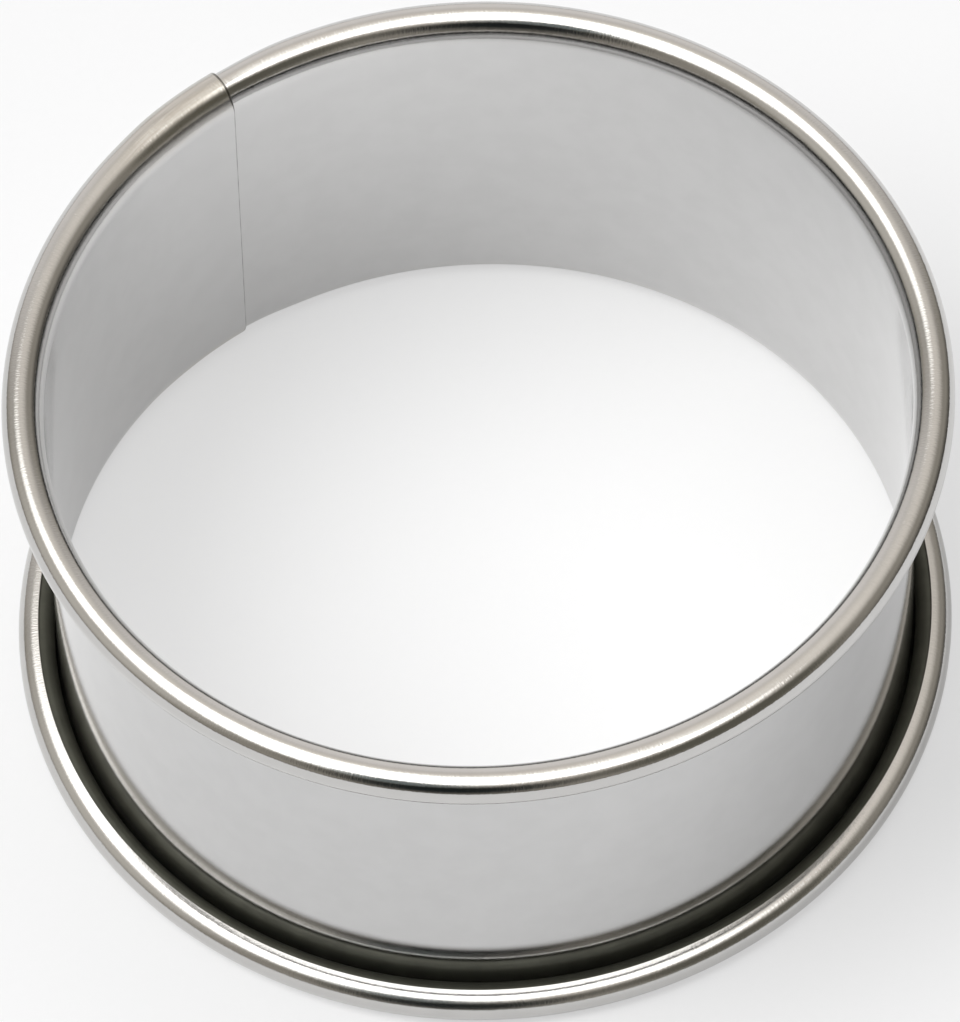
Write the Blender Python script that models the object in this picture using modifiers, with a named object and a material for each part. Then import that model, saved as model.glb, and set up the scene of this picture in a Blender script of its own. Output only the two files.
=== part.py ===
"""Stainless steel cake ring, built up as it is made.

One strip of thin sheet is rolled outwards over a wire along both edges, bent round and
closed by a lapped seam. Each bead stands a little outside the wall, on a short neck, and
its curl stops at the top, so the wire shows between its raw edge and the wall. At the
seam one end of the strip is a sleeve: its wall lies inside the other end's wall and its
rolled beads wrap over the other end's beads. Spot welds join the two walls. Metres, +Z
up, the origin under the centre of the ring.
"""

import math

import bmesh
import bpy
from mathutils import Euler

# Driving dimensions in metres
INNER_DIAMETER = 0.0994
RING_HEIGHT = 0.0511
BEAD_DIAMETER = 0.00435
SHEET_THICKNESS = 0.0003
NECK_OFFSET = 0.0003
NECK_RISE = 0.00076
LAP_LENGTH = 0.0070
JOGGLE_LENGTH = 0.0030
WELD_DIAMETER = 0.0020
WELD_DENT = 0.00005

# Clearances in metres
LAP_CLEARANCE = 0.00004
TIP_CLEARANCE = 0.0005
WIRE_CLEARANCE = 0.00017
WELD_CLEARANCE = 0.00004

# Where the sleeve's mouth stands, counted from +X
SEAM_ANGLE = math.radians(122.65)

# Where a curl ends, counted round the bead from the side that faces into the ring
CURL_END = math.radians(275.0)

# Counts and facets
WELD_NAMES = ("seam_weld_lower", "seam_weld_middle", "seam_weld_upper")
RING_FACET = math.radians(5.0)
CURL_FACET = math.radians(22.5)
LAP_FACETS = 3
JOGGLE_FACETS = 3
WELD_SIDES = 16
WIRE_BEVEL_RESOLUTION = 3

# Worked out from the driving dimensions
INNER_RADIUS = INNER_DIAMETER / 2
BEAD_RADIUS = BEAD_DIAMETER / 2
BEAD_CIRCLE_RADIUS = INNER_RADIUS + NECK_OFFSET + BEAD_RADIUS
NECK_SLOPE = math.atan2(NECK_OFFSET, NECK_RISE + BEAD_RADIUS * math.tan(CURL_FACET / 2))
LAP_STEP = SHEET_THICKNESS + LAP_CLEARANCE
LAP_ANGLE = LAP_LENGTH / INNER_RADIUS
JOGGLE_ANGLE = JOGGLE_LENGTH / INNER_RADIUS
TIP_ANGLE = TIP_CLEARANCE / INNER_RADIUS
FULL_TURN = 2 * math.pi

STEEL_SHEET = ("sheet_steel", (0.66, 0.65, 0.63), 0.15)
STEEL_WIRE = ("wire_steel", (0.22, 0.21, 0.18), 0.45)
STEEL_WELD = ("weld_steel", (0.50, 0.48, 0.44), 0.35)


def clear_scene():
    """Remove every object that the file opened with."""
    for existing in list(bpy.data.objects):
        bpy.data.objects.remove(existing, do_unlink=True)


def new_collection(name):
    """Make a collection in the scene."""
    collection = bpy.data.collections.new(name)
    bpy.context.scene.collection.children.link(collection)
    return collection


def steel(name, colour, roughness):
    """Make a bare metal with one colour and one roughness."""
    material = bpy.data.materials.new(name)
    material.use_nodes = True
    surface = material.node_tree.nodes["Principled BSDF"]
    surface.inputs["Base Color"].default_value = (*colour, 1.0)
    surface.inputs["Metallic"].default_value = 1.0
    surface.inputs["Roughness"].default_value = roughness
    return material


def add_object(name, data, collection, parent, material=None):
    """Put a mesh or curve into the collection under its parent."""
    piece = bpy.data.objects.new(name, data)
    collection.objects.link(piece)
    piece.parent = parent
    if material:
        data.materials.append(material)
    return piece


def ease(value):
    """Rise from 0 to 1 with level ends, and stay level outside them."""
    value = min(max(value, 0.0), 1.0)
    return value * value * (3.0 - 2.0 * value)


def sleeve_growth(turn):
    """How far the sheet stands off the plain section: one lap step in the sleeve."""
    past_tongue = turn - LAP_ANGLE - TIP_ANGLE
    return LAP_STEP * (1.0 - ease(past_tongue / JOGGLE_ANGLE))


def lower_bead_lift(turn):
    """How far the lower bead's centre is set up, so that the lap stands level too."""
    before_mouth = turn + TIP_ANGLE + JOGGLE_ANGLE - FULL_TURN
    return sleeve_growth(turn) + LAP_STEP * ease(before_mouth / JOGGLE_ANGLE)


def evenly(start, span, count):
    """Angles that split a span into equal facets, both ends among them."""
    return [start + span * i / count for i in range(count + 1)]


def strip_turns():
    """Angles along the strip from the sleeve's mouth to the tongue's tip."""
    lap = evenly(0.0, LAP_ANGLE, LAP_FACETS)
    joggle = evenly(LAP_ANGLE + TIP_ANGLE, JOGGLE_ANGLE, JOGGLE_FACETS)
    crimp = evenly(FULL_TURN - TIP_ANGLE - JOGGLE_ANGLE, JOGGLE_ANGLE, JOGGLE_FACETS)
    tongue = [FULL_TURN + turn for turn in lap]
    first = math.ceil((SEAM_ANGLE + joggle[-1]) / RING_FACET + 0.25)
    last = math.floor((SEAM_ANGLE + crimp[0]) / RING_FACET - 0.25)
    plain = [k * RING_FACET - SEAM_ANGLE for k in range(first, last + 1)]
    return lap + joggle + plain + crimp + tongue


def bead_corners(bead_radius):
    """Corners of a rolled bead from its neck to its edge, as distances from its centre.

    Each one is a distance outwards and a distance away from the wall. The corners lie
    half a facet off the bead's lowest and innermost points, so a flat rests on the table,
    and the curl ends part of the way along the flat on its top.
    """
    whole_flats = int(CURL_END / CURL_FACET + 0.5)
    corner_radius = bead_radius / math.cos(CURL_FACET / 2)
    corners = [(corner_radius, CURL_FACET * (k + 0.5)) for k in range(whole_flats)]
    edge_radius = bead_radius / math.cos(CURL_END - CURL_FACET * whole_flats)
    corners.append((edge_radius, CURL_END))
    return [(-reach * math.cos(curl), reach * math.sin(curl)) for reach, curl in corners]


def section(turn):
    """Radius and height of the sheet's showing face, from the lower edge to the upper."""
    growth = sleeve_growth(turn)
    bead = bead_corners(BEAD_RADIUS + growth)
    neck_start = (INNER_RADIUS - growth, growth * math.tan(NECK_SLOPE / 2) - NECK_RISE)
    corners = [neck_start, *[(BEAD_CIRCLE_RADIUS + out, away) for out, away in bead]]
    lower_centre = BEAD_RADIUS + lower_bead_lift(turn)
    upper_centre = RING_HEIGHT - BEAD_RADIUS
    lower = [(radius, lower_centre - away) for radius, away in corners]
    upper = [(radius, upper_centre + away) for radius, away in corners]
    return lower[::-1] + upper


def around(radius, turn, height):
    """The point at a radius and height, a turn along the strip from the seam."""
    angle = SEAM_ANGLE + turn
    return (radius * math.cos(angle), radius * math.sin(angle), height)


def build_strip(collection, parent, material):
    """Loft the strip's showing face through its sections and give it its thickness."""
    sheet = bmesh.new()
    rows = []
    for turn in strip_turns():
        rows.append([sheet.verts.new(around(r, turn, z)) for r, z in section(turn)])
    for row, following in zip(rows, rows[1:]):
        for i in range(len(row) - 1):
            sheet.faces.new((row[i], row[i + 1], following[i + 1], following[i]))
    mesh = bpy.data.meshes.new("rolled_band")
    sheet.to_mesh(mesh)
    sheet.free()
    mesh.shade_smooth()
    mesh.set_sharp_from_angle(angle=math.radians(50))
    strip = add_object("rolled_band", mesh, collection, parent, material)
    thickness = strip.modifiers.new("sheet thickness", "SOLIDIFY")
    thickness.thickness = SHEET_THICKNESS
    thickness.offset = -1.0
    thickness.use_even_offset = True
    return strip


def build_rim_wire(name, centre_height, collection, parent, material):
    """Run a wire hoop through a bead, its two ends butted just past the tongue's tip."""
    start = LAP_ANGLE + TIP_ANGLE
    end = FULL_TURN + LAP_ANGLE
    between = [turn for turn in strip_turns() if start < turn < end]
    curve = bpy.data.curves.new(name, "CURVE")
    curve.dimensions = "3D"
    curve.bevel_depth = BEAD_RADIUS - SHEET_THICKNESS - WIRE_CLEARANCE
    curve.bevel_resolution = WIRE_BEVEL_RESOLUTION
    curve.use_fill_caps = True
    turns = [start, *between, end]
    spline = curve.splines.new("POLY")
    spline.points.add(len(turns) - 1)
    for point, turn in zip(spline.points, turns):
        point.co = (*around(BEAD_CIRCLE_RADIUS, turn, centre_height(turn)), 1.0)
    return add_object(name, curve, collection, parent, material)


def round_plug(name, radius, inner_end, outer_end, dent):
    """Make a plug along Z between two heights, its outer face pressed in by a dent."""
    plug = bmesh.new()
    bmesh.ops.create_cone(plug, cap_ends=True, segments=WELD_SIDES, radius1=radius,
                          radius2=radius, depth=outer_end - inner_end)
    middle = (inner_end + outer_end) / 2
    bmesh.ops.translate(plug, verts=plug.verts, vec=(0.0, 0.0, middle))
    outer_face = max(plug.faces, key=lambda face: face.calc_center_median().z)
    centre = bmesh.ops.poke(plug, faces=[outer_face])["verts"]
    bmesh.ops.translate(plug, verts=centre, vec=(0.0, 0.0, -dent))
    mesh = bpy.data.meshes.new(name)
    plug.to_mesh(mesh)
    plug.free()
    return mesh


def build_seam_welds(strip, parts, cutters, parent, material):
    """Seat the weld nuggets in the lapped walls, spaced evenly up the flat wall.

    Each one goes through the tongue's wall and half way into the sleeve's wall, so the
    face inside the ring stays unmarked.
    """
    flat = math.cos(LAP_ANGLE / LAP_FACETS / 2)
    pocket_floor = (INNER_RADIUS - LAP_STEP + SHEET_THICKNESS / 2) * flat
    outer_face = (INNER_RADIUS + SHEET_THICKNESS) * flat
    wall_height = RING_HEIGHT - 2 * BEAD_DIAMETER
    spacing = wall_height / len(WELD_NAMES)
    nugget_mesh = round_plug("weld_nugget", WELD_DIAMETER / 2, pocket_floor + WELD_CLEARANCE,
                             outer_face, WELD_DENT)
    nugget_mesh.materials.append(material)
    bore_mesh = round_plug("weld_bore", WELD_DIAMETER / 2 + WELD_CLEARANCE, pocket_floor,
                           outer_face + SHEET_THICKNESS, 0.0)
    facing_out = Euler((0.0, math.pi / 2, SEAM_ANGLE + LAP_ANGLE / 2))
    for i, name in enumerate(WELD_NAMES):
        height = BEAD_DIAMETER + spacing * (i + 0.5)
        nugget = add_object(name, nugget_mesh, parts, parent)
        bore = add_object(name + "_bore", bore_mesh, cutters, parent)
        for piece in (nugget, bore):
            piece.location.z = height
            piece.rotation_euler = facing_out
        bore.hide_render = True
        bore.display_type = "WIRE"
        cut = strip.modifiers.new(name + " bore", "BOOLEAN")
        cut.operation = "DIFFERENCE"
        cut.solver = "EXACT"
        cut.object = bore


def main():
    """Build the ring: its strip, the wires in its beads and the welds of its seam."""
    clear_scene()
    parts = new_collection("cake_ring")
    cutters = new_collection("cutters")
    frame = add_object("cake_ring_frame", None, parts, None)
    strip = build_strip(parts, frame, steel(*STEEL_SHEET))
    wire_steel = steel(*STEEL_WIRE)
    build_rim_wire("lower_rim_wire", lambda turn: BEAD_RADIUS + lower_bead_lift(turn),
                   parts, frame, wire_steel)
    build_rim_wire("upper_rim_wire", lambda turn: RING_HEIGHT - BEAD_RADIUS,
                   parts, frame, wire_steel)
    build_seam_welds(strip, parts, cutters, frame, steel(*STEEL_WELD))


main()
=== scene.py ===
"""Dress the cake ring for its studio picture.

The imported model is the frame. A finely rolled band, its two rim wires and the three weld
nuggets stand in for the plain solids, in bare steel with the marks of rolling, curling and
welding, on a pale sweep under soft light from above. Metres, +Z up.
"""

import logging
import math
from dataclasses import dataclass
from enum import Enum

import bmesh
import bpy
from mathutils import Matrix, Vector


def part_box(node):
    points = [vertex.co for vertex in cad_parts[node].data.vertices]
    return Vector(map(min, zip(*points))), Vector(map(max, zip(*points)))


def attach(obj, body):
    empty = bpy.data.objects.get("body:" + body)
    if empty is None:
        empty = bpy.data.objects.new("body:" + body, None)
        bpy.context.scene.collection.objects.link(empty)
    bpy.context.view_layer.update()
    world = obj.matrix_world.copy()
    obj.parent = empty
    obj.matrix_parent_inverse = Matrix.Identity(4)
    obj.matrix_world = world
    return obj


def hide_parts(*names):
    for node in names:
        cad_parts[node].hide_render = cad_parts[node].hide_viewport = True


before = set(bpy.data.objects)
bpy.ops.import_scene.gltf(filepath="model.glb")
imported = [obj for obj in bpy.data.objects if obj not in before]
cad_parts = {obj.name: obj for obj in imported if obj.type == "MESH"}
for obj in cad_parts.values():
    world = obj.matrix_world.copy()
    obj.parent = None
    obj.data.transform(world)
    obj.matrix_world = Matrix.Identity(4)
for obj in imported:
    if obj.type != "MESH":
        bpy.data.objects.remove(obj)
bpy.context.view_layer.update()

log = logging.getLogger("cake_ring")

FULL_TURN = 2 * math.pi
PICTURE_LONG_SIDE = 1022
SHARP_ANGLE = math.radians(50.0)

# The Mix node's colour sockets, which share their names with its other kinds of socket
MIX_SHARE, MIX_FIRST, MIX_SECOND = 0, 6, 7
MIX_RESULT = 2

# The range that holds most of a noise texture's values
NOISE_LOW = 0.3
NOISE_HIGH = 0.7

Colour = tuple[float, float, float]


class Rim(Enum):
    """The two long edges of the strip, by the sign of their rise from the wall."""

    LOWER = -1.0
    UPPER = 1.0


def ease(value: float) -> float:
    """Rise from 0 to 1 with level ends, and stay level outside them.

    Args:
        value: Where on the rise, 0 at its start and 1 at its end.

    Returns:
        The height on the rise, from 0 to 1.
    """
    value = min(max(value, 0.0), 1.0)
    return value * value * (3.0 - 2.0 * value)


@dataclass(frozen=True)
class RingSize:
    """Sizes of the strip and its seam, in metres and radians."""

    bead_circle_radius: float = 0.052175
    height: float = 0.0511
    bead_radius: float = 0.002175
    sheet: float = 0.0003
    neck_radius: float = 0.00484
    neck_turn: float = math.radians(33.0)
    curl_end: float = math.radians(262.0)
    flat_edge: float = 0.00053
    seam_angle: float = math.radians(123.35)
    lap_length: float = 0.0066
    joggle_length: float = 0.0080
    lap_step: float = 0.00034
    tip_gap: float = 0.0005
    out_of_round: float = 0.00387
    long_axis: float = math.radians(45.0)

    @property
    def hoop_oval(self) -> Matrix:
        """The slight oval of the hoop: longer along its long axis and shorter across it.

        Returns:
            The scale that turns a round hoop into the oval one.
        """
        turned = Matrix.Rotation(self.long_axis, 4, "Z")
        oval = Matrix.Diagonal((1.0 + self.out_of_round, 1.0 - self.out_of_round, 1.0, 1.0))
        return turned @ oval @ turned.inverted()

    @property
    def wall_radius(self) -> float:
        """The radius of the wall's inner face."""
        set_in = (self.neck_radius - self.bead_radius) * (1.0 - math.cos(self.neck_turn))
        return self.bead_circle_radius - self.bead_radius - set_in

    @property
    def lap_turn(self) -> float:
        """The angle of the lap about the ring's axis."""
        return self.lap_length / self.wall_radius

    @property
    def joggle_turn(self) -> float:
        """The angle over which a joggle steps the sheet."""
        return self.joggle_length / self.wall_radius

    @property
    def tip_turn(self) -> float:
        """The angle left free past the tongue's tip."""
        return self.tip_gap / self.wall_radius

    def growth(self, turn: float) -> float:
        """How far the sheet stands off the plain section.

        Args:
            turn: Angle along the strip from the sleeve's mouth.

        Returns:
            Half a lap step out in the sleeve, half a step in at the tongue, nothing elsewhere.
        """
        return self.lap_step / 2 * (self.sleeved(turn) - self.tongued(turn))

    def lift(self, turn: float) -> float:
        """How far the lower bead is set up so that the lap stands level.

        Args:
            turn: Angle along the strip from the sleeve's mouth.

        Returns:
            The rise of the lower bead's centre.
        """
        return self.lap_step / 2 * (self.sleeved(turn) + self.tongued(turn))

    def sleeved(self, turn: float) -> float:
        """The sleeve's share at a turn: 1 over the tongue, easing to nothing past its tip."""
        past_tongue = turn - self.lap_turn - self.tip_turn
        return 1.0 - ease(past_tongue / self.joggle_turn)

    def tongued(self, turn: float) -> float:
        """The tongue's share at a turn: nothing before its joggle, 1 from the mouth on."""
        before_mouth = turn + self.tip_turn + self.joggle_turn - FULL_TURN
        return ease(before_mouth / self.joggle_turn)


@dataclass(frozen=True)
class Speckle:
    """One noise texture: cells per metre, octaves, and how strong the finer octaves are."""

    scale: float
    detail: float
    roughness: float = 0.5


@dataclass(frozen=True)
class Relief:
    """How a bump stands on a surface: its strength, and its depth in metres."""

    strength: float
    distance: float


class NodeBoard:
    """Lays out shader nodes in one tree."""

    def __init__(self, tree: bpy.types.NodeTree) -> None:
        """Start on an empty tree.

        Args:
            tree: The node tree to lay out.
        """
        self.tree = tree
        tree.nodes.clear()

    def put(self, kind: str, inputs: dict | None = None, **settings: object) -> bpy.types.Node:
        """Add one node, set it up and wire its inputs.

        Args:
            kind: The node's type, without the ShaderNode prefix.
            inputs: Socket name or number to a value or to the socket that feeds it.
            settings: Properties of the node.

        Returns:
            The new node.
        """
        node = self.tree.nodes.new("ShaderNode" + kind)
        for name, value in settings.items():
            setattr(node, name, value)
        for key, value in (inputs or {}).items():
            if isinstance(value, bpy.types.NodeSocket):
                self.tree.links.new(value, node.inputs[key])
            else:
                node.inputs[key].default_value = value
        return node

    def maths(self, operation: str, *values: object) -> bpy.types.NodeSocket:
        """Add a Math node.

        Args:
            operation: The node's operation.
            values: Numbers or sockets for its inputs, in order.

        Returns:
            Its output.
        """
        return self.put("Math", dict(enumerate(values)), operation=operation).outputs[0]

    def fade(self, value: bpy.types.NodeSocket, start: float, end: float,
             low: float = 0.0, high: float = 1.0) -> bpy.types.NodeSocket:
        """Ease a value from one range into another.

        Args:
            value: The socket to read.
            start: Where the range begins.
            end: Where the range ends.
            low: The result at the range's start and before it.
            high: The result at the range's end and past it.

        Returns:
            The eased value.
        """
        node = self.put("MapRange", {"Value": value, "From Min": start, "From Max": end,
                                     "To Min": low, "To Max": high},
                        interpolation_type="SMOOTHSTEP")
        return node.outputs["Result"]

    def blend(self, share: object, first: object, second: object) -> bpy.types.NodeSocket:
        """Mix two colours.

        Args:
            share: Number or socket, 0 for the first colour and 1 for the second.
            first: Colour or socket.
            second: Colour or socket.

        Returns:
            The mixed colour.
        """
        node = self.tree.nodes.new("ShaderNodeMix")
        node.data_type = "RGBA"
        for key, value in ((MIX_SHARE, share), (MIX_FIRST, first), (MIX_SECOND, second)):
            if isinstance(value, bpy.types.NodeSocket):
                self.tree.links.new(value, node.inputs[key])
            elif isinstance(value, tuple):
                node.inputs[key].default_value = (*value, 1.0)
            else:
                node.inputs[key].default_value = value
        return node.outputs[MIX_RESULT]

    def noise(self, vector: bpy.types.NodeSocket, speckle: Speckle) -> bpy.types.NodeSocket:
        """Add a noise texture.

        Args:
            vector: The coordinate that it reads.
            speckle: Its scale and detail.

        Returns:
            Its value, about 0.5 on average.
        """
        node = self.put("TexNoise", {"Vector": vector, "Scale": speckle.scale,
                                     "Detail": speckle.detail, "Roughness": speckle.roughness})
        return node.outputs["Fac"]

    def bump(self, relief: Relief, height: bpy.types.NodeSocket,
             **under: bpy.types.NodeSocket) -> bpy.types.NodeSocket:
        """Add a bump.

        Args:
            relief: Its strength and depth.
            height: The value that it raises the surface by.
            under: The Normal that it stands on, where it isn't the plain surface.

        Returns:
            The bumped normal.
        """
        node = self.put("Bump", {"Strength": relief.strength, "Distance": relief.distance,
                                 "Height": height, **under})
        return node.outputs[0]

    def finish(self, surface: bpy.types.NodeSocket) -> None:
        """Wire a shader to the material's output."""
        self.put("OutputMaterial", {"Surface": surface})


def new_material(name: str) -> tuple[bpy.types.Material, NodeBoard]:
    """Start a node material.

    Args:
        name: Its name.

    Returns:
        The material and a board on its tree.
    """
    material = bpy.data.materials.new(name)
    material.use_nodes = True
    return material, NodeBoard(material.node_tree)


@dataclass(frozen=True)
class BrightSheet:
    """Bright rolled stainless sheet: a soft satin wall and burnished beads."""

    colour: Colour = (0.600, 0.598, 0.596)
    bead_colour: Colour = (0.590, 0.582, 0.570)
    worked_colour: Colour = (0.54, 0.515, 0.475)
    rubbed_colour: Colour = (0.60, 0.585, 0.555)
    # Painted shade: a near-black line along the sleeve's cut edge at the seam's mouth, standing in
    # for the shadow of the gap there
    gap_shade_colour: Colour = (0.035, 0.033, 0.03)
    gap_shade_depth: float = 0.9
    least_gap_shade: float = 0.3
    gap_shade_start: float = 0.00002
    gap_shade_end: float = 0.00020
    bead_gap_shade_reach: float = 0.00016
    wall_roughness: float = 0.09
    bead_roughness: float = 0.10
    lower_roughness: float = 0.16
    worked_roughness: float = 0.19
    uneven_roughness: float = 0.02
    lower_bead_top: float = 0.005
    burnished_from: float = 0.010
    grain_squeeze: float = 0.05
    fringe_squeeze: float = 0.25
    mottle_shade: float = 0.015
    mottle: Speckle = Speckle(260.0, 3.0, 0.55)
    grain: Speckle = Speckle(9000.0, 3.0, 0.6)
    fringe: Speckle = Speckle(5200.0, 2.0, 0.6)
    streaks: Speckle = Speckle(3500.0, 3.0, 0.65)
    wander: Speckle = Speckle(1500.0, 3.0)
    grain_relief: Relief = Relief(0.10, 0.00001)
    fringe_relief: Relief = Relief(0.8, 0.00002)

    def make(self) -> bpy.types.Material:
        """Lay out the sheet's nodes.

        Returns:
            The material.
        """
        material, board = new_material("bright_sheet")
        along = board.put("Attribute", attribute_name="along").outputs["Fac"]
        across = board.put("Attribute", attribute_name="across").outputs["Fac"]
        bead = board.put("Attribute", attribute_name="bead_share").outputs["Fac"]
        worked = board.put("Attribute", attribute_name="worked").outputs["Fac"]
        position = board.put("TexCoord").outputs["Object"]
        lengthwise = board.put("CombineXYZ", {
            "X": board.maths("MULTIPLY", along, self.grain_squeeze), "Y": across}).outputs[0]
        crosswise = board.put("CombineXYZ", {
            "X": along, "Y": board.maths("MULTIPLY", across, self.fringe_squeeze)}).outputs[0]

        mottle = board.noise(position, self.mottle)
        grain = board.noise(lengthwise, self.grain)
        fringe = board.noise(crosswise, self.fringe)

        plain = board.blend(bead, self.colour, self.bead_colour)
        streaks = board.fade(board.noise(lengthwise, self.streaks), NOISE_LOW, NOISE_HIGH)
        streaked = board.blend(streaks, self.worked_colour, self.rubbed_colour)
        tint = board.blend(board.maths("MULTIPLY", worked, bead), plain, streaked)
        # Painted shade of the seam's gap: darken the sheet near the sleeve's cut edge, reaching
        # further over the bead, broken up by noise
        wander = board.fade(board.noise(crosswise, self.wander), NOISE_LOW, NOISE_HIGH,
                            self.least_gap_shade, 1.0)
        from_cut = board.maths("SUBTRACT", along, board.maths("MULTIPLY", bead, self.bead_gap_shade_reach))
        near_cut_shade = board.fade(from_cut, self.gap_shade_start, self.gap_shade_end, 1.0, 0.0)
        gap_shade = board.maths("MULTIPLY", wander, near_cut_shade)
        tint = board.blend(board.maths("MULTIPLY", gap_shade, self.gap_shade_depth), tint, self.gap_shade_colour)
        shade = board.fade(mottle, NOISE_LOW, NOISE_HIGH,
                           1.0 - self.mottle_shade, 1.0 + self.mottle_shade)
        colour = board.put("VectorMath", {0: tint, 3: shade}, operation="SCALE").outputs[0]

        height = board.put("SeparateXYZ", {"Vector": position}).outputs["Z"]
        burnish = board.fade(height, self.lower_bead_top, self.burnished_from,
                             self.lower_roughness, self.bead_roughness)
        smooth = board.maths("ADD", self.wall_roughness, board.maths(
            "MULTIPLY", bead, board.maths("SUBTRACT", burnish, self.wall_roughness)))
        dulled = board.maths("ADD", smooth, board.maths(
            "MULTIPLY", worked, self.worked_roughness - self.bead_roughness))
        uneven = board.fade(grain, NOISE_LOW, NOISE_HIGH,
                            -self.uneven_roughness, self.uneven_roughness)
        roughness = board.maths("ADD", dulled, uneven)

        rolled = board.bump(self.grain_relief, grain)
        marked = board.bump(self.fringe_relief, board.maths("MULTIPLY", fringe, bead),
                            Normal=rolled)
        surface = board.put("BsdfPrincipled", {
            "Base Color": colour, "Metallic": 1.0, "Roughness": roughness, "Normal": marked})
        board.finish(surface.outputs[0])
        return material


@dataclass(frozen=True)
class DullWire:
    """Drawn steel wire, dull and dark olive."""

    colour: Colour = (0.058, 0.059, 0.046)
    bright_colour: Colour = (0.074, 0.075, 0.059)
    metallic: float = 0.55
    dull_roughness: float = 0.42
    bright_roughness: float = 0.38
    patches: Speckle = Speckle(350.0, 4.0)
    bright_from: float = 0.35
    drawing: Speckle = Speckle(9000.0, 2.0)
    relief: Relief = Relief(0.1, 0.00001)

    def make(self) -> bpy.types.Material:
        """Lay out the wire's nodes.

        Returns:
            The material.
        """
        material, board = new_material("dull_wire")
        position = board.put("TexCoord").outputs["Object"]
        patches = board.noise(position, self.patches)
        bright = board.fade(patches, self.bright_from, NOISE_HIGH)
        colour = board.blend(bright, self.colour, self.bright_colour)
        roughness = board.fade(patches, NOISE_LOW, NOISE_HIGH,
                               self.dull_roughness, self.bright_roughness)
        bump = board.bump(self.relief, board.noise(position, self.drawing))
        surface = board.put("BsdfPrincipled", {
            "Base Color": colour, "Metallic": self.metallic, "Roughness": roughness,
            "Normal": bump})
        board.finish(surface.outputs[0])
        return material


@dataclass(frozen=True)
class HeatedWeld:
    """A spot weld's face, dull in the middle with a straw heat tint at its edge."""

    colour: Colour = (0.50, 0.49, 0.47)
    tint: Colour = (0.46, 0.37, 0.24)
    tint_start: float = 0.7
    tint_end: float = 1.1
    tint_wander: float = 0.3
    least_roughness: float = 0.28
    most_roughness: float = 0.42
    blotch: Speckle = Speckle(2500.0, 3.0)
    relief: Relief = Relief(0.4, 0.00003)

    def make(self) -> bpy.types.Material:
        """Lay out the weld's nodes.

        Returns:
            The material.
        """
        material, board = new_material("heated_weld")
        position = board.put("TexCoord").outputs["Object"]
        out = board.put("Attribute", attribute_name="out").outputs["Fac"]
        blotch = board.noise(position, self.blotch)
        wandering = board.maths("ADD", out, board.maths("MULTIPLY", blotch, self.tint_wander))
        ring = board.fade(wandering, self.tint_start, self.tint_end)
        colour = board.blend(ring, self.colour, self.tint)
        roughness = board.fade(blotch, NOISE_LOW, NOISE_HIGH,
                               self.least_roughness, self.most_roughness)
        bump = board.bump(self.relief, blotch)
        surface = board.put("BsdfPrincipled", {
            "Base Color": colour, "Metallic": 1.0, "Roughness": roughness, "Normal": bump})
        board.finish(surface.outputs[0])
        return material


@dataclass(frozen=True)
class PaperSweep:
    """The studio's matt white paper."""

    colour: Colour = (0.95, 0.95, 0.952)
    shade: Colour = (0.94, 0.94, 0.942)
    roughness: float = 0.9
    specular: float = 0.1
    fibre: Speckle = Speckle(900.0, 4.0)
    fibre_low: float = 0.35
    fibre_high: float = 0.65
    white: Colour = (0.97, 0.97, 0.972)
    white_in_picture: float = 0.55
    white_in_metal: float = 0.35

    def make(self) -> bpy.types.Material:
        """Lay out the paper's nodes.

        Returns:
            The material.
        """
        material, board = new_material("paper_sweep")
        position = board.put("TexCoord").outputs["Object"]
        fibre = board.fade(board.noise(position, self.fibre), self.fibre_low, self.fibre_high)
        colour = board.blend(fibre, self.shade, self.colour)
        paper = board.put("BsdfPrincipled", {
            "Base Color": colour, "Roughness": self.roughness, "Specular IOR Level": self.specular})
        white = board.put("Emission", {"Color": (*self.white, 1.0), "Strength": 1.0})
        path = board.put("LightPath")
        mirrored = board.maths("MAXIMUM", path.outputs["Is Glossy Ray"],
                               path.outputs["Is Transmission Ray"])
        share = board.maths(
            "ADD", board.maths("MULTIPLY", path.outputs["Is Camera Ray"], self.white_in_picture),
            board.maths("MULTIPLY", mirrored, self.white_in_metal))
        surface = board.put("MixShader", {0: share, 1: paper.outputs[0], 2: white.outputs[0]})
        board.finish(surface.outputs[0])
        return material


def add_piece(name: str, shape: bmesh.types.BMesh,
              material: bpy.types.Material) -> bpy.types.Object:
    """Put a finished shape in the scene.

    Args:
        name: The piece's name.
        shape: Its mesh, in place.
        material: Its finish.

    Returns:
        The new object, unturned at the origin.
    """
    mesh = bpy.data.meshes.new(name)
    shape.to_mesh(mesh)
    shape.free()
    mesh.materials.append(material)
    piece = bpy.data.objects.new(name, mesh)
    bpy.context.scene.collection.objects.link(piece)
    return piece


def verts_in(geometry: list) -> list:
    """The vertices among an operator's results."""
    return [item for item in geometry if isinstance(item, bmesh.types.BMVert)]


def edges_between(geometry: list, verts: list) -> list:
    """The edges among an operator's results that join two of these vertices."""
    ends = set(verts)
    return [item for item in geometry if isinstance(item, bmesh.types.BMEdge)
            and all(vert in ends for vert in item.verts)]


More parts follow.
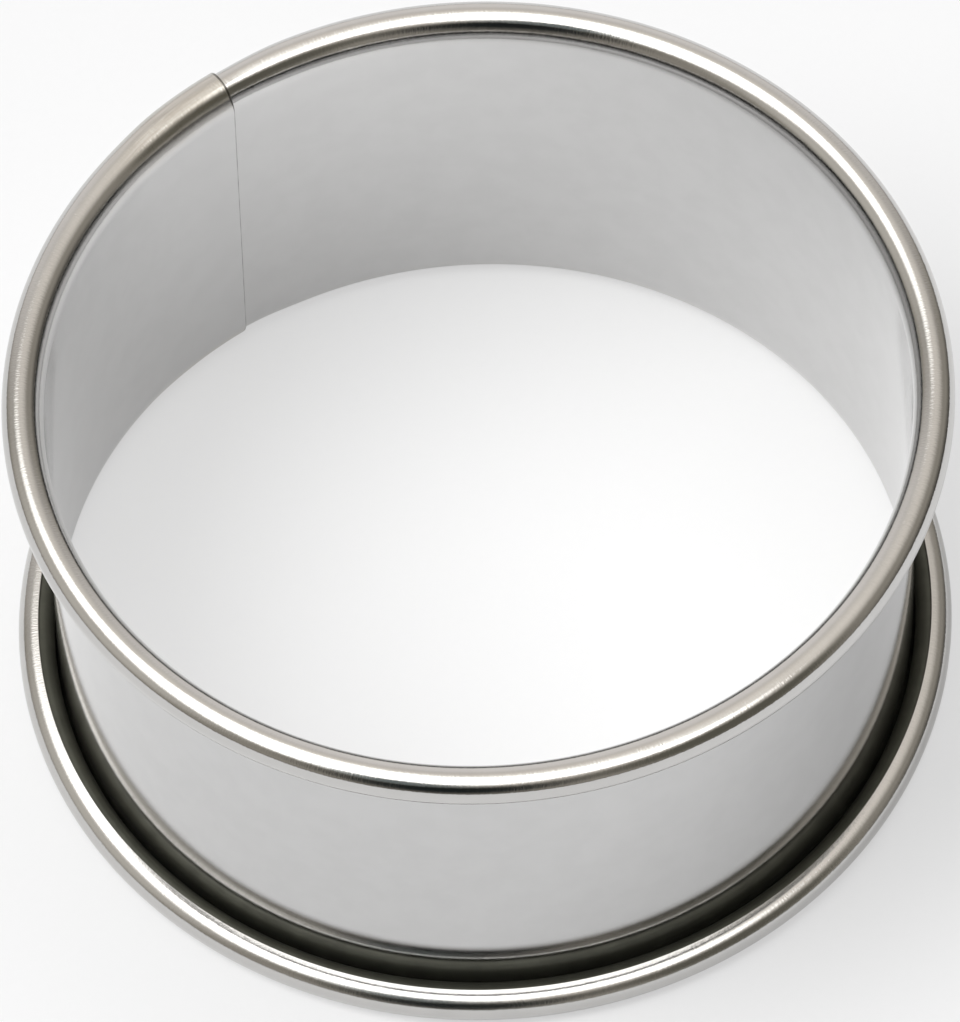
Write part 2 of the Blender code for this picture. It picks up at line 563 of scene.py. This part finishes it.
@dataclass
class RolledBand:
    """The strip: its wall, its two rolled beads, and the sleeve and tongue of its seam."""

    size: RingSize
    curl_steps: int = 40
    neck_steps: int = 8
    wall_steps: int = 8
    plain_step: float = math.radians(1.25)
    lap_steps: int = 14
    joggle_steps: int = 12
    edge_radius: float = 0.00010
    edge_segments: int = 3
    edge_angle: float = math.radians(60.0)
    worked_joggles: float = 2.0

    def turns(self) -> list[float]:
        """Angles along the strip from the sleeve's mouth to the tongue's tip.

        Returns:
            The stations, finer in the lap and the joggles.
        """
        size = self.size
        lap = [size.lap_turn * i / self.lap_steps for i in range(self.lap_steps + 1)]
        joggle = [i / self.joggle_steps for i in range(self.joggle_steps + 1)]
        first = size.lap_turn + size.tip_turn
        last = FULL_TURN - size.tip_turn
        steps = math.ceil((last - first - 2 * size.joggle_turn) / self.plain_step)
        reach = (last - first - 2 * size.joggle_turn) / steps
        plain = [first + size.joggle_turn + reach * i for i in range(1, steps)]
        return (lap + [first + size.joggle_turn * share for share in joggle] + plain
                + [last - size.joggle_turn * (1 - share) for share in joggle]
                + [FULL_TURN + turn for turn in lap])

    def draw_section(self, shape: bmesh.types.BMesh) -> None:
        """Draw the plain section in the XZ plane, from the lower edge to the upper.

        Args:
            shape: An empty mesh that takes the chain of edges.
        """
        size = self.size
        lower = Vector((size.bead_circle_radius, 0.0, size.bead_radius))
        upper = Vector((size.bead_circle_radius, 0.0, size.height - size.bead_radius))
        shift = size.neck_radius - size.bead_radius
        out, up = shift * math.cos(size.neck_turn), shift * math.sin(size.neck_turn)
        lower_neck = lower + Vector((out, 0.0, up))
        upper_neck = upper + Vector((out, 0.0, -up))
        end = size.curl_end
        edge = lower - size.bead_radius * Vector((math.cos(end), 0.0, math.sin(end)))
        flat = size.flat_edge * Vector((math.sin(end), 0.0, -math.cos(end)))
        tip = [shape.verts.new(edge + flat)]

        def spin(centre: Vector, angle: float, steps: int) -> None:
            """Spin the chain's tip about a centre."""
            tip[:] = verts_in(bmesh.ops.spin(
                shape, geom=tip, cent=centre, axis=(0.0, 1.0, 0.0), angle=angle,
                steps=steps)["geom_last"])

        def draw(rise: Vector) -> None:
            """Draw the chain on by one straight piece."""
            tip[:] = bmesh.ops.extrude_vert_indiv(shape, verts=tip)["verts"]
            bmesh.ops.translate(shape, verts=tip, vec=rise)

        curl = size.curl_end - size.neck_turn
        draw(-flat)
        spin(lower, curl, self.curl_steps)
        spin(lower_neck, size.neck_turn, self.neck_steps)
        rise = (upper_neck.z - lower_neck.z) / self.wall_steps
        for _ in range(self.wall_steps):
            draw(Vector((0.0, 0.0, rise)))
        spin(upper_neck, size.neck_turn, self.neck_steps)
        spin(upper, curl, self.curl_steps)
        draw(Vector((flat.x, 0.0, -flat.z)))

    def curls(self) -> list[tuple[Rim, float, float]]:
        """Where each point of the section lies.

        Returns:
            For each point from the lower edge to the upper: the rim that it is nearer, its
            angle round the curl from the wall, and its share of the lower bead's lift.
        """
        size = self.size
        bead = [size.curl_end] + [
            size.curl_end - (size.curl_end - size.neck_turn) * i / self.curl_steps
            for i in range(self.curl_steps + 1)]
        neck = [size.neck_turn * (1 - i / self.neck_steps) for i in range(1, self.neck_steps + 1)]
        lower = [(Rim.LOWER, curl, 1.0) for curl in bead + neck]
        upper = [(Rim.UPPER, curl, 0.0) for curl in neck[::-1] + bead[::-1]]
        wall = [(Rim.LOWER, 0.0, 1.0 - i / self.wall_steps) for i in range(1, self.wall_steps)]
        return lower + wall + upper

    def mark_section(self, shape: bmesh.types.BMesh) -> None:
        """Note on each point of the section what the sweep and the finish ask of it.

        Args:
            shape: The section's chain of edges.
        """
        layers = shape.verts.layers.float
        across, bead = layers.new("across"), layers.new("bead_share")
        out, up, rides = layers.new("off_out"), layers.new("off_up"), layers.new("rides_up")
        girth = 0.0
        before = None
        for vert, (rim, curl, share) in zip(shape.verts, self.curls(), strict=True):
            girth += (vert.co - before).length if before else 0.0
            before = vert.co.copy()
            vert[across] = girth
            vert[bead] = ease(curl / self.size.neck_turn)
            vert[out] = -math.cos(curl)
            vert[up] = rim.value * math.sin(curl)
            vert[rides] = share

    def worked(self, turn: float) -> float:
        """How much the roller's tool has marked the strip at a turn from the mouth.

        Args:
            turn: Angle along the strip from the sleeve's mouth.

        Returns:
            1 in the sleeve, easing to nothing past its joggle.
        """
        reach = self.worked_joggles * self.size.joggle_turn
        return 1.0 - ease((turn - self.size.lap_turn) / reach)

    def set_off(self, shape: bmesh.types.BMesh, verts: list, turn: float,
                growth: float, lift: float) -> None:
        """Move one station's section off the plain shape.

        Args:
            shape: The band.
            verts: The station's vertices.
            turn: The station's angle along the strip.
            growth: How far to move along the showing face's own direction.
            lift: How far to raise the lower bead.
        """
        layers = shape.verts.layers.float
        out, up, rides = layers["off_out"], layers["off_up"], layers["rides_up"]
        angle = self.size.seam_angle + turn
        outward = Vector((math.cos(angle), math.sin(angle), 0.0))
        upward = Vector((0.0, 0.0, 1.0))
        for vert in verts:
            vert.co += growth * (vert[out] * outward + vert[up] * upward)
            vert.co += lift * vert[rides] * upward

    def sweep(self, shape: bmesh.types.BMesh) -> None:
        """Extrude the section along the strip, station by station.

        Args:
            shape: The section, turned to the sleeve's mouth.
        """
        size = self.size
        along, worked = shape.verts.layers.float["along"], shape.verts.layers.float["worked"]
        rim, verts = list(shape.edges), list(shape.verts)
        turns = self.turns()
        self.set_off(shape, verts, turns[0], size.growth(turns[0]), size.lift(turns[0]))
        for vert in verts:
            vert[worked] = self.worked(turns[0])
        for before, turn in zip(turns, turns[1:]):
            grown = bmesh.ops.extrude_edge_only(shape, edges=rim)["geom"]
            verts = verts_in(grown)
            rim = edges_between(grown, verts)
            bmesh.ops.rotate(shape, verts=verts, cent=(0.0, 0.0, 0.0),
                             matrix=Matrix.Rotation(turn - before, 3, "Z"))
            self.set_off(shape, verts, turn, size.growth(turn) - size.growth(before),
                         size.lift(turn) - size.lift(before))
            for vert in verts:
                vert[along] = turn * size.wall_radius
                vert[worked] = self.worked(turn)

    def build(self, material: bpy.types.Material) -> bpy.types.Object:
        """Sweep the section along the strip and give the sheet its thickness.

        Args:
            material: The sheet's finish.

        Returns:
            The band.
        """
        shape = bmesh.new()
        for name in ("along", "worked"):
            shape.verts.layers.float.new(name)
        self.draw_section(shape)
        self.mark_section(shape)
        bmesh.ops.rotate(shape, verts=shape.verts, cent=(0.0, 0.0, 0.0),
                         matrix=Matrix.Rotation(self.size.seam_angle, 3, "Z"))
        self.sweep(shape)
        bmesh.ops.recalc_face_normals(shape, faces=shape.faces)
        self.face_in(shape)
        piece = add_piece("rolled_band_fine", shape, material)
        piece.data.shade_smooth()
        thickness = piece.modifiers.new("sheet thickness", "SOLIDIFY")
        thickness.thickness = self.size.sheet
        thickness.offset = -1.0
        thickness.use_even_offset = True
        rounding = piece.modifiers.new("edge rounding", "BEVEL")
        rounding.width = self.edge_radius
        rounding.segments = self.edge_segments
        rounding.limit_method = "ANGLE"
        rounding.angle_limit = self.edge_angle
        rounding.harden_normals = True
        return piece

    def face_in(self, shape: bmesh.types.BMesh) -> None:
        """Turn the open sheet so that the wall's showing face looks into the ring.

        Args:
            shape: The band before it has its thickness.
        """
        middle = self.size.height / 2
        wall = min(shape.faces, key=lambda face: abs(face.calc_center_median().z - middle))
        place = wall.calc_center_median()
        if wall.normal.dot(Vector((place.x, place.y, 0.0))) > 0.0:
            bmesh.ops.reverse_faces(shape, faces=shape.faces)


@dataclass
class RimWire:
    """A wire hoop inside one bead, its two ends butted past the tongue's tip."""

    size: RingSize
    rim: Rim
    radius: float = 0.00162
    set_in: float = 0.00045
    set_up: float = 0.00024
    sides: int = 32
    steps: int = 240

    def build(self, material: bpy.types.Material) -> bpy.types.Object:
        """Sweep the wire's round section through the bead.

        Args:
            material: The wire's finish.

        Returns:
            The wire.
        """
        size = self.size
        start = size.lap_turn + size.tip_turn
        span = FULL_TURN - size.tip_turn
        shape = bmesh.new()
        bmesh.ops.create_circle(shape, cap_ends=True, segments=self.sides, radius=self.radius)
        bmesh.ops.rotate(shape, verts=shape.verts, cent=(0.0, 0.0, 0.0),
                         matrix=Matrix.Rotation(math.pi / 2, 3, "X"))
        bmesh.ops.translate(shape, verts=shape.verts, vec=self.centre(start))
        bmesh.ops.rotate(shape, verts=shape.verts, cent=(0.0, 0.0, 0.0),
                         matrix=Matrix.Rotation(size.seam_angle + start, 3, "Z"))
        face = list(shape.faces)
        for i in range(self.steps):
            grown = bmesh.ops.extrude_face_region(shape, geom=face)["geom"]
            verts = verts_in(grown)
            if i:
                bmesh.ops.delete(shape, geom=face, context="FACES_ONLY")
            face = [item for item in grown if isinstance(item, bmesh.types.BMFace)]
            bmesh.ops.rotate(shape, verts=verts, cent=(0.0, 0.0, 0.0),
                             matrix=Matrix.Rotation(span / self.steps, 3, "Z"))
            turn = start + span * (i + 1) / self.steps
            move = self.centre(turn) - self.centre(turn - span / self.steps)
            move.rotate(Matrix.Rotation(size.seam_angle + turn, 3, "Z"))
            bmesh.ops.translate(shape, verts=verts, vec=move)
        bmesh.ops.recalc_face_normals(shape, faces=shape.faces)
        piece = add_piece(f"{self.rim.name.lower()}_wire_hoop", shape, material)
        piece.data.shade_smooth()
        piece.data.set_sharp_from_angle(angle=SHARP_ANGLE)
        return piece

    def centre(self, turn: float) -> Vector:
        """Where the wire's centre stands in the section.

        Args:
            turn: Angle along the strip from the sleeve's mouth.

        Returns:
            The place, pressed against the neck and set up with the lower bead.
        """
        size = self.size
        free = 1.0 - size.tongued(turn)
        out = size.bead_circle_radius - self.set_in * free
        to_wall = self.set_up * free
        if self.rim is Rim.LOWER:
            return Vector((out, 0.0, size.bead_radius + size.lift(turn) + to_wall))
        return Vector((out, 0.0, size.height - size.bead_radius - to_wall))


@dataclass
class WeldNugget:
    """The face of one spot weld on the outside of the lap."""

    size: RingSize
    name: str
    height: float
    radius: float = 0.00100
    depth_in_sheet: float = 0.9
    rounding: float = 0.05
    rounding_segments: int = 3
    lip_width: float = 0.12
    lip_rise: float = 0.00002
    shoulder_width: float = 0.15
    slope_width: float = 0.3
    dent: float = 0.00005
    steep_share: float = 0.7
    sides: int = 48

    def build(self, material: bpy.types.Material) -> bpy.types.Object:
        """Press the weld's dished face and bend it to the wall.

        Args:
            material: The weld's finish.

        Returns:
            The weld.
        """
        size = self.size
        shape = bmesh.new()
        out = shape.verts.layers.float.new("out")
        depth = size.sheet * self.depth_in_sheet
        bmesh.ops.create_cone(shape, cap_ends=True, segments=self.sides, radius1=self.radius,
                              radius2=self.radius, depth=depth)
        bmesh.ops.translate(shape, verts=shape.verts, vec=(0.0, 0.0, -depth / 2))
        top = max(shape.faces, key=lambda face: face.calc_center_median().z)
        bmesh.ops.bevel(shape, geom=list(top.edges), offset=self.radius * self.rounding,
                        offset_type="OFFSET", segments=self.rounding_segments, profile=0.5,
                        affect="EDGES", material=-1)
        top = max(shape.faces, key=lambda face: face.calc_center_median().z)
        steep = self.dent * self.steep_share
        for share, rise in ((self.lip_width, self.lip_rise), (self.shoulder_width, 0.0),
                            (self.slope_width, -steep), (self.slope_width, steep - self.dent)):
            bmesh.ops.inset_region(shape, faces=[top], thickness=self.radius * share,
                                   depth=0.0, use_even_offset=True)
            bmesh.ops.translate(shape, verts=list(top.verts), vec=(0.0, 0.0, rise))
        bmesh.ops.poke(shape, faces=[top])
        for vert in shape.verts:
            vert[out] = Vector((vert.co.x, vert.co.y)).length / self.radius
        outer_face = size.wall_radius + size.sheet + size.lap_step / 2
        for vert in shape.verts:
            vert.co.z -= vert.co.y ** 2 / (2.0 * outer_face)
        bmesh.ops.rotate(shape, verts=shape.verts, cent=(0.0, 0.0, 0.0),
                         matrix=Matrix.Rotation(math.pi / 2, 3, "Y"))
        bmesh.ops.translate(shape, verts=shape.verts, vec=(outer_face, 0.0, self.height))
        bmesh.ops.rotate(shape, verts=shape.verts, cent=(0.0, 0.0, 0.0),
                         matrix=Matrix.Rotation(size.seam_angle + size.lap_turn / 2, 3, "Z"))
        bmesh.ops.recalc_face_normals(shape, faces=shape.faces)
        piece = add_piece(self.name + "_face", shape, material)
        piece.data.shade_smooth()
        piece.data.set_sharp_from_angle(angle=SHARP_ANGLE)
        return piece


@dataclass(frozen=True)
class Lobe:
    """One patch of the studio's surroundings, round a direction in degrees."""

    azimuth: float
    elevation: float
    inner: float
    outer: float
    colour: Colour
    strength: float

    @property
    def aim(self) -> Vector:
        """The unit vector to the middle of the patch."""
        turn, rise = math.radians(self.azimuth), math.radians(self.elevation)
        return Vector((math.cos(rise) * math.cos(turn), math.cos(rise) * math.sin(turn),
                       math.sin(rise)))


@dataclass(frozen=True)
class Lamp:
    """One soft lamp that lights the paper, with its place and width in degrees."""

    name: str
    azimuth: float
    elevation: float
    width: float
    strength: float

    def hang(self) -> None:
        """Hang the lamp in the scene, out of sight of the metal."""
        data = bpy.data.lights.new(self.name, "SUN")
        data.energy = self.strength
        data.angle = math.radians(self.width)
        lamp = bpy.data.objects.new(self.name, data)
        lamp.rotation_euler = (0.0, math.radians(90.0 - self.elevation), math.radians(self.azimuth))
        lamp.visible_glossy = False
        bpy.context.scene.collection.objects.link(lamp)


@dataclass
class Studio:
    """The pale sweep, the surroundings and the camera."""

    target_height: float = 0.02555
    distance: float = 1.76603
    elevation: float = math.radians(56.99)
    roll: float = math.radians(-1.81)
    lens: float = 540.0
    shift: tuple[float, float] = (-1.66 / PICTURE_LONG_SIDE, -2.83 / PICTURE_LONG_SIDE)
    sensor_width: float = 36.0
    clip_start: float = 0.05
    clip_end: float = 50.0
    floor_radius: float = 4.0
    floor_sides: int = 96
    horizon: Colour = (0.10, 0.095, 0.085)
    horizon_height: float = 0.10
    horizon_depth: float = 0.55
    room: Colour = (0.354, 0.328, 0.285)
    lobes: tuple[Lobe, ...] = (
        Lobe(97.0, 13.4, 8.0, 53.0, (1.04, 1.00, 0.965), 0.92),
        Lobe(180.1, 32.3, 11.5, 38.5, (1.05, 1.00, 0.91), 0.64),
        Lobe(319.6, 25.1, 12.8, 31.7, (1.06, 1.00, 0.81), 0.13),
        Lobe(261.8, 25.7, 4.8, 31.5, (0.82, 1.00, 0.98), 0.02),
        Lobe(17.5, -19.1, 4.7, 47.1, (1.05, 1.00, 0.87), 0.02),
        Lobe(58.1, 89.0, 9.2, 52.7, (1.06, 1.00, 0.92), 1.02),
        Lobe(217.6, 72.9, 12.0, 34.1, (1.00, 1.00, 0.98), 3.26),
        Lobe(249.9, 48.9, 4.3, 14.5, (0.88, 1.00, 0.99), 0.21),
        Lobe(152.9, 64.7, 3.6, 25.2, (1.01, 1.00, 0.97), 3.15),
        Lobe(319.0, 68.2, 2.6, 18.3, (1.01, 1.00, 0.97), 3.16),
    )
    lamps: tuple[Lamp, ...] = (
        Lamp("key_lamp", 190.0, 55.0, 40.0, 1.9),
        Lamp("top_lamp", 100.0, 80.0, 60.0, 1.5),
    )

    def lay_floor(self) -> None:
        """Lay the paper under the ring."""
        shape = bmesh.new()
        bmesh.ops.create_circle(shape, cap_ends=True, segments=self.floor_sides,
                                radius=self.floor_radius)
        floor = add_piece("paper_floor", shape, PaperSweep().make())

    def light(self) -> None:
        """Surround the set: soft light above, a pale room, a dark end and a dark horizon."""
        world = bpy.data.worlds.new("studio")
        bpy.context.scene.world = world
        world.use_nodes = True
        board = NodeBoard(world.node_tree)
        direction = board.put("TexCoord").outputs["Generated"]
        seen = self.room
        for lobe in self.lobes:
            facing = board.put("VectorMath", {0: direction, 1: lobe.aim},
                               operation="DOT_PRODUCT").outputs["Value"]
            share = board.fade(facing, math.cos(math.radians(lobe.outer)),
                               math.cos(math.radians(lobe.inner)))
            colour = tuple(part * lobe.strength for part in lobe.colour)
            seen = board.blend(share, seen, colour)
        height = board.put("SeparateXYZ", {"Vector": direction}).outputs["Z"]
        level = board.fade(board.maths("ABSOLUTE", height), 0.0, self.horizon_height, 1.0, 0.0)
        seen = board.blend(board.maths("MULTIPLY", level, self.horizon_depth), seen, self.horizon)
        background = board.put("Background", {"Color": seen, "Strength": 1.0})
        board.put("OutputWorld", {"Surface": background.outputs[0]})
        world.cycles_visibility.diffuse = False
        for lamp in self.lamps:
            lamp.hang()

    def set_camera(self) -> None:
        """Stand the camera where the picture was taken from."""
        data = bpy.data.cameras.new("camera")
        data.lens = self.lens
        data.sensor_width = self.sensor_width
        data.shift_x, data.shift_y = self.shift
        data.clip_start = self.clip_start
        data.clip_end = self.clip_end
        camera = bpy.data.objects.new("camera", data)
        bpy.context.scene.collection.objects.link(camera)
        back = Vector((0.0, -math.cos(self.elevation), math.sin(self.elevation)))
        place = Vector((0.0, 0.0, self.target_height)) + back * self.distance
        aim = (-back).to_track_quat("-Z", "Y").to_matrix().to_4x4()
        camera.matrix_world = (Matrix.Translation(place) @ aim
                               @ Matrix.Rotation(self.roll, 4, "Z"))
        bpy.context.scene.camera = camera


def stand_in(piece: bpy.types.Object, node: str, oval: Matrix) -> None:
    """Let a piece stand for a node of the frame.

    Args:
        piece: The finished piece, on a round hoop.
        node: The node that it replaces.
        oval: The hoop's oval, which the piece's shape takes on.
    """
    piece.data.transform(oval)
    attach(piece, "root")
    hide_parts(node)
    log.info("%s stands for %s: %d faces", piece.name, node, len(piece.data.polygons))


def main() -> None:
    """Build the studio and the ring."""
    logging.basicConfig(level=logging.INFO, format="%(name)s: %(message)s")
    bpy.context.scene.view_settings.view_transform = "Standard"
    size = RingSize()
    studio = Studio()
    studio.lay_floor()
    studio.light()
    studio.set_camera()

    oval = size.hoop_oval
    sheet = BrightSheet().make()
    stand_in(RolledBand(size).build(sheet), "rolled_band", oval)
    wire = DullWire().make()
    for rim in Rim:
        hoop = RimWire(size, rim).build(wire)
        stand_in(hoop, f"{rim.name.lower()}_rim_wire", oval)
    weld = HeatedWeld().make()
    for name in ("seam_weld_lower", "seam_weld_middle", "seam_weld_upper"):
        low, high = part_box(name)
        nugget = WeldNugget(size, name, (low.z + high.z) / 2)
        stand_in(nugget.build(weld), name, oval)


if __name__ == "__main__":
    main()
